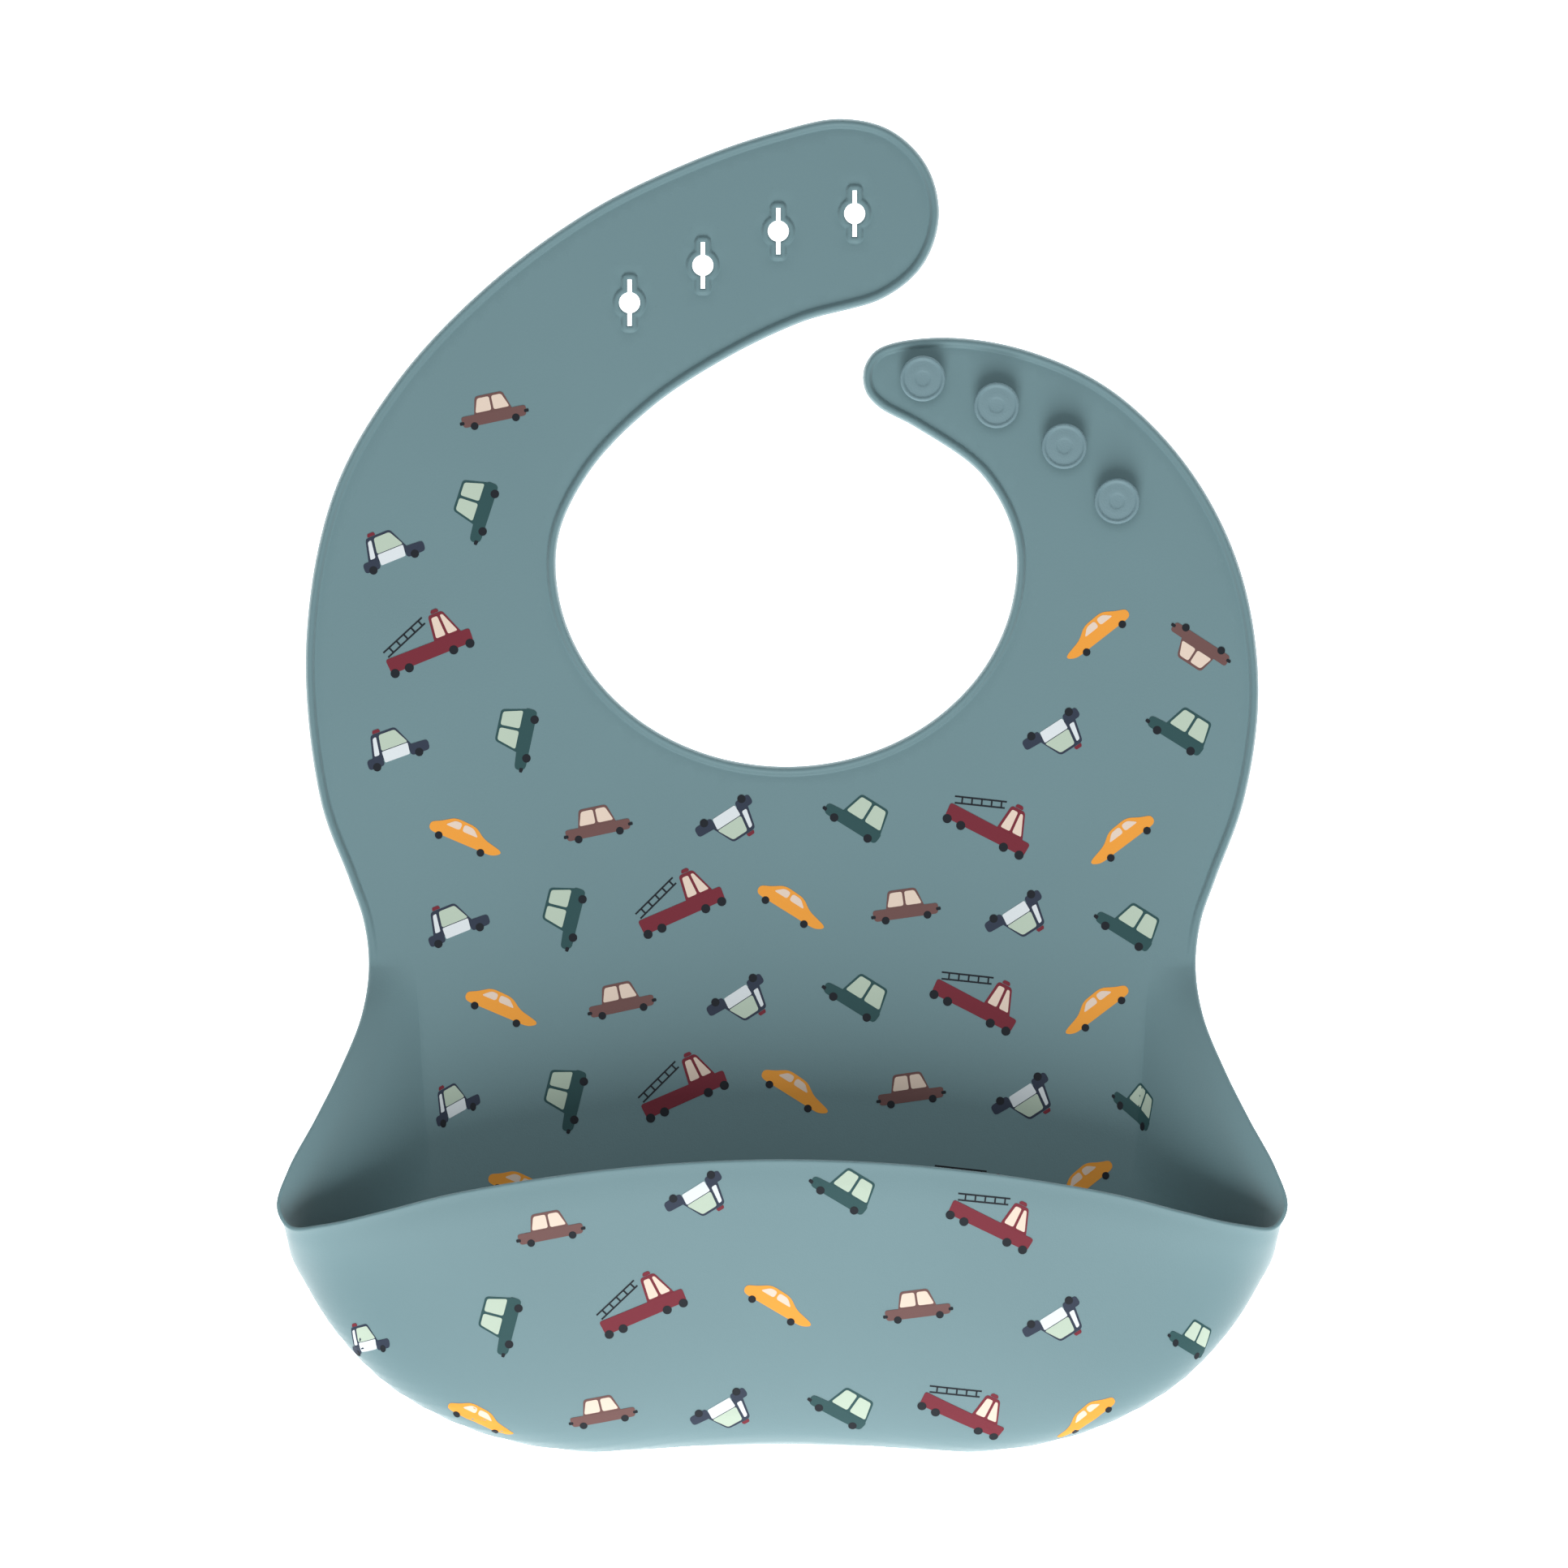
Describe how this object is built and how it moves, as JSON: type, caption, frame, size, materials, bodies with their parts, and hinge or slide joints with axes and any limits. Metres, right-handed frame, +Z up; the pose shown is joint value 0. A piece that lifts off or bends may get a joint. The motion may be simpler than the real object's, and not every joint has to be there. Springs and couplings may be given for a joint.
{
  "type": "silicone bib",
  "caption": "One-piece soft silicone baby bib with a wide catch pocket, a neck opening, a strap with button holes and a strap with mushroom studs, printed with small vehicles.",
  "frame": {"origin": "on the flat back face, in the middle of the outline: the bib lies on its back with the pocket upwards", "axes": "+X to the right seen from the front, +Y from the pocket to the neck opening, +Z up out of the front, towards the pocket's lip"},
  "size_m": [0.2298, 0.3036, 0.0375],
  "materials": {
    "silicone": "matt blue-grey silicone with a fine even grain",
    "stud_silicone": "matt blue-grey silicone, finely textured on top",
    "ink_orange": "matt printed ink",
    "ink_brown": "matt printed ink",
    "ink_red": "matt printed ink",
    "ink_green": "matt printed ink",
    "ink_navy": "matt printed ink",
    "ink_mint": "matt printed ink",
    "ink_cream": "matt printed ink",
    "ink_white": "matt printed ink",
    "ink_black": "matt printed ink"
  },
  "bodies": {
    "panel": {"chest_panel": "silicone", "pocket_floor": "silicone", "pocket_side_left": "silicone", "pocket_side_right": "silicone"},
    "pocket_lip": {"pocket_front": "silicone"},
    "yoke": {"neck_yoke": "silicone"},
    "left_root": {"left_strap_root": "silicone"},
    "left_middle": {"left_strap_middle": "silicone"},
    "left_tip": {"left_strap_tip": "silicone"},
    "right_root": {"right_strap_root": "silicone", "stud_1": "stud_silicone", "stud_2": "stud_silicone"},
    "right_tip": {"right_strap_tip": "silicone", "stud_3": "stud_silicone", "stud_4": "stud_silicone"}
  },
  "joints": [
    {"name": "pocket_flex", "type": "hinge", "parent": "panel", "child": "pocket_lip", "pos_m": [0, -0.14, 0.006], "axis": [1, 0, 0], "range_deg": [-15, 15], "stiffness_Nm_per_rad": 0.3, "springref_deg": 1.26, "deforming": ["pocket_floor", "pocket_side_left", "pocket_side_right"]},
    {"name": "chest_fold", "type": "hinge", "parent": "panel", "child": "yoke", "pos_m": [0, -0.016, 0.0009], "axis": [1, 0, 0], "range_deg": [0, 100], "stiffness_Nm_per_rad": 0.012},
    {"name": "left_strap_curl", "type": "hinge", "parent": "yoke", "child": "left_root", "pos_m": [-0.07369, 0.07667, 0.0009], "axis": [0.9336, -0.3584, 0], "range_deg": [0, 30], "stiffness_Nm_per_rad": 0.004},
    {"name": "left_strap_curl_middle", "type": "hinge", "parent": "left_root", "child": "left_middle", "pos_m": [-0.06289, 0.09615, 0.0009], "axis": [0.7986, -0.6018, 0], "range_deg": [0, 30], "stiffness_Nm_per_rad": 0.004},
    {"name": "left_strap_curl_tip", "type": "hinge", "parent": "left_middle", "child": "left_tip", "pos_m": [-0.04715, 0.11189, 0.0009], "axis": [0.6018, -0.7986, 0], "range_deg": [0, 30], "stiffness_Nm_per_rad": 0.004},
    {"name": "right_strap_curl", "type": "hinge", "parent": "yoke", "child": "right_root", "pos_m": [0.08089, 0.05219, 0.0009], "axis": [0.9986, 0.0523, 0], "range_deg": [0, 30], "stiffness_Nm_per_rad": 0.004},
    {"name": "right_strap_curl_tip", "type": "hinge", "parent": "right_root", "child": "right_tip", "pos_m": [0.06906, 0.09004, 0.0009], "axis": [0.8508, 0.5255, 0], "range_deg": [0, 30], "stiffness_Nm_per_rad": 0.003}
  ],
  "couplings": [
    {"joint": "left_strap_curl_middle", "follows": "left_strap_curl", "ratio": 1},
    {"joint": "left_strap_curl_tip", "follows": "left_strap_curl", "ratio": 1},
    {"joint": "right_strap_curl_tip", "follows": "right_strap_curl", "ratio": 1}
  ]
}
